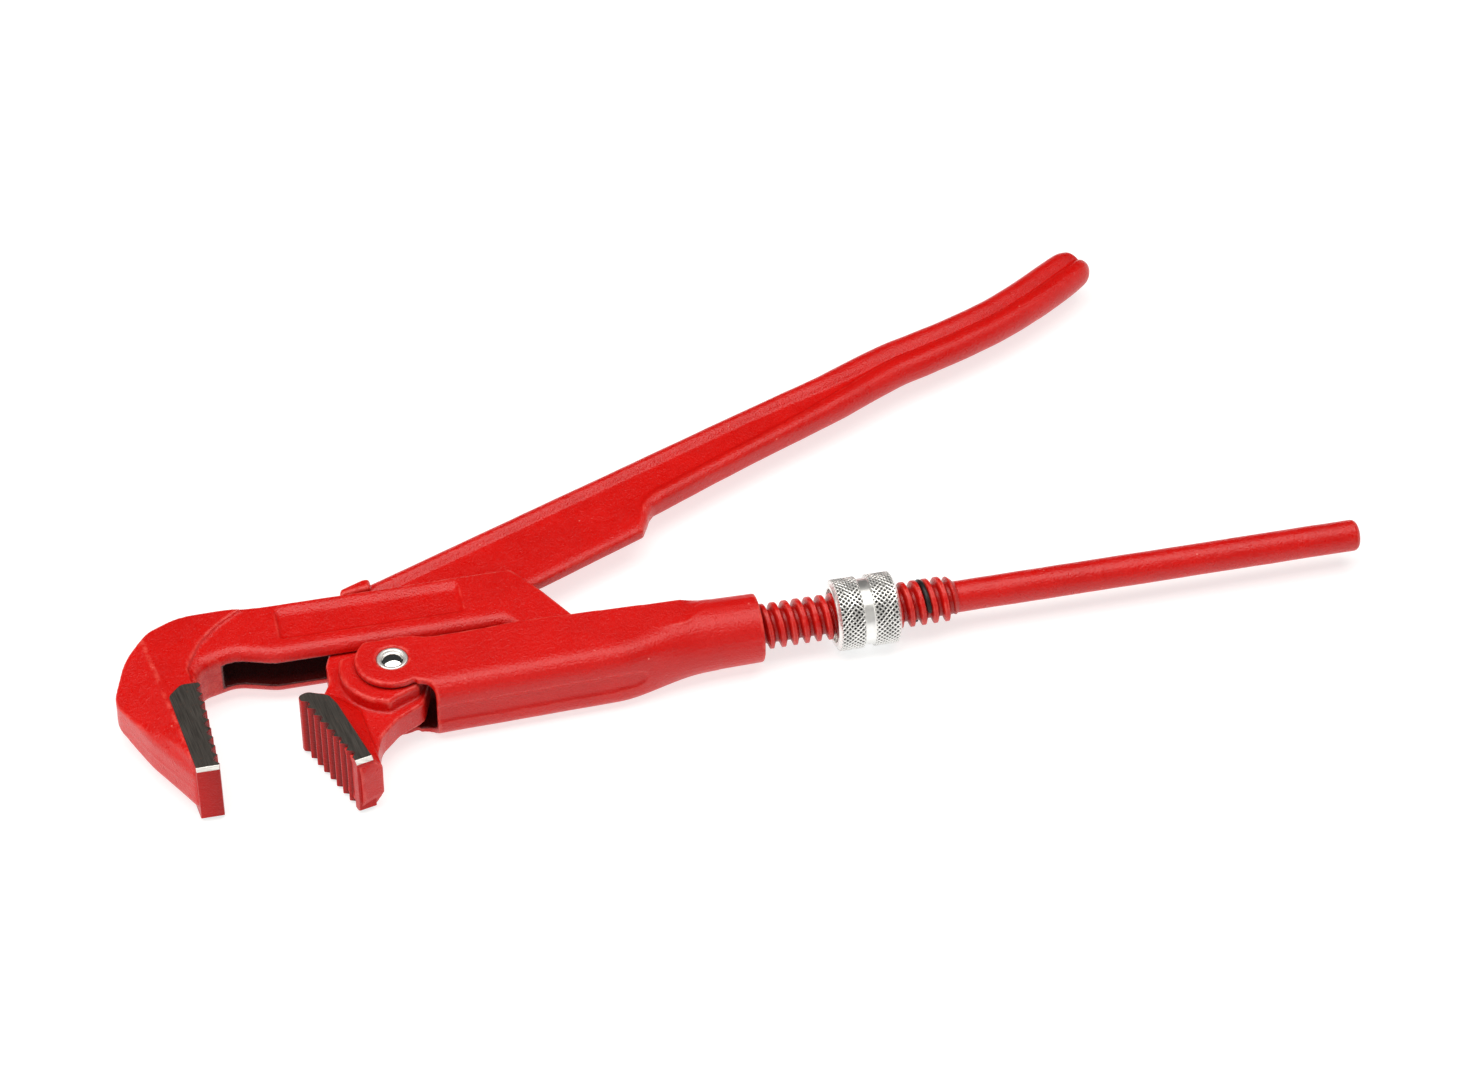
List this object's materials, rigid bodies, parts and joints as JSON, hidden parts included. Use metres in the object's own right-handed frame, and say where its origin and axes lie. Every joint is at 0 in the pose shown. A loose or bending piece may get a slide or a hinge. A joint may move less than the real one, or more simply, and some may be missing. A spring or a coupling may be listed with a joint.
{
  "type": "pipe wrench",
  "caption": "Lever pipe wrench: a hook jaw on a threaded rod slides in a pressed sleeve, a long handle swings the lower jaw on a pin, and a knurled nut sets the opening.",
  "frame": {"origin": "centre of the bounding box in X and Y, at its lowest point in Z, with the wrench lying on its side", "axes": "+X along the threaded rod from the jaws to the rod's free end, +Y from the rod towards the long handle, +Z square to the flat side of the sleeve"},
  "size_m": [0.3156, 0.1602, 0.0181],
  "materials": {
    "hook_red_paint": "satin red paint over forged steel",
    "handle_red_paint": "satin red paint over forged steel",
    "sleeve_red_paint": "satin red paint over pressed steel",
    "pin_polished_steel": "polished and dished rivet ends",
    "nut_chrome": "bright plated, diamond knurled",
    "ring_black_steel": "black oxide"
  },
  "bodies": {
    "sleeve": {"sleeve": "sleeve_red_paint", "pivot_pin": "pin_polished_steel"},
    "handle": {"handle_jaw": "handle_red_paint"},
    "hook": {"hook_jaw": "hook_red_paint", "stop_ring": "ring_black_steel"},
    "nut": {"adjusting_nut": "nut_chrome"}
  },
  "joints": [
    {"name": "handle_squeeze", "type": "hinge", "parent": "sleeve", "child": "handle", "pos_m": [-0.09035, -0.04533, 0.00905], "axis": [0, 0, -1], "range_deg": [0, 18]},
    {"name": "hook_slide", "type": "slide", "parent": "sleeve", "child": "hook", "axis": [1, 0, 0], "range_m": [-0.0185, 0.0205]},
    {"name": "nut_turn", "type": "hinge", "parent": "hook", "child": "nut", "pos_m": [0.02865, -0.04533, 0.00905], "axis": [1, 0, 0], "continuous": true}
  ]
}
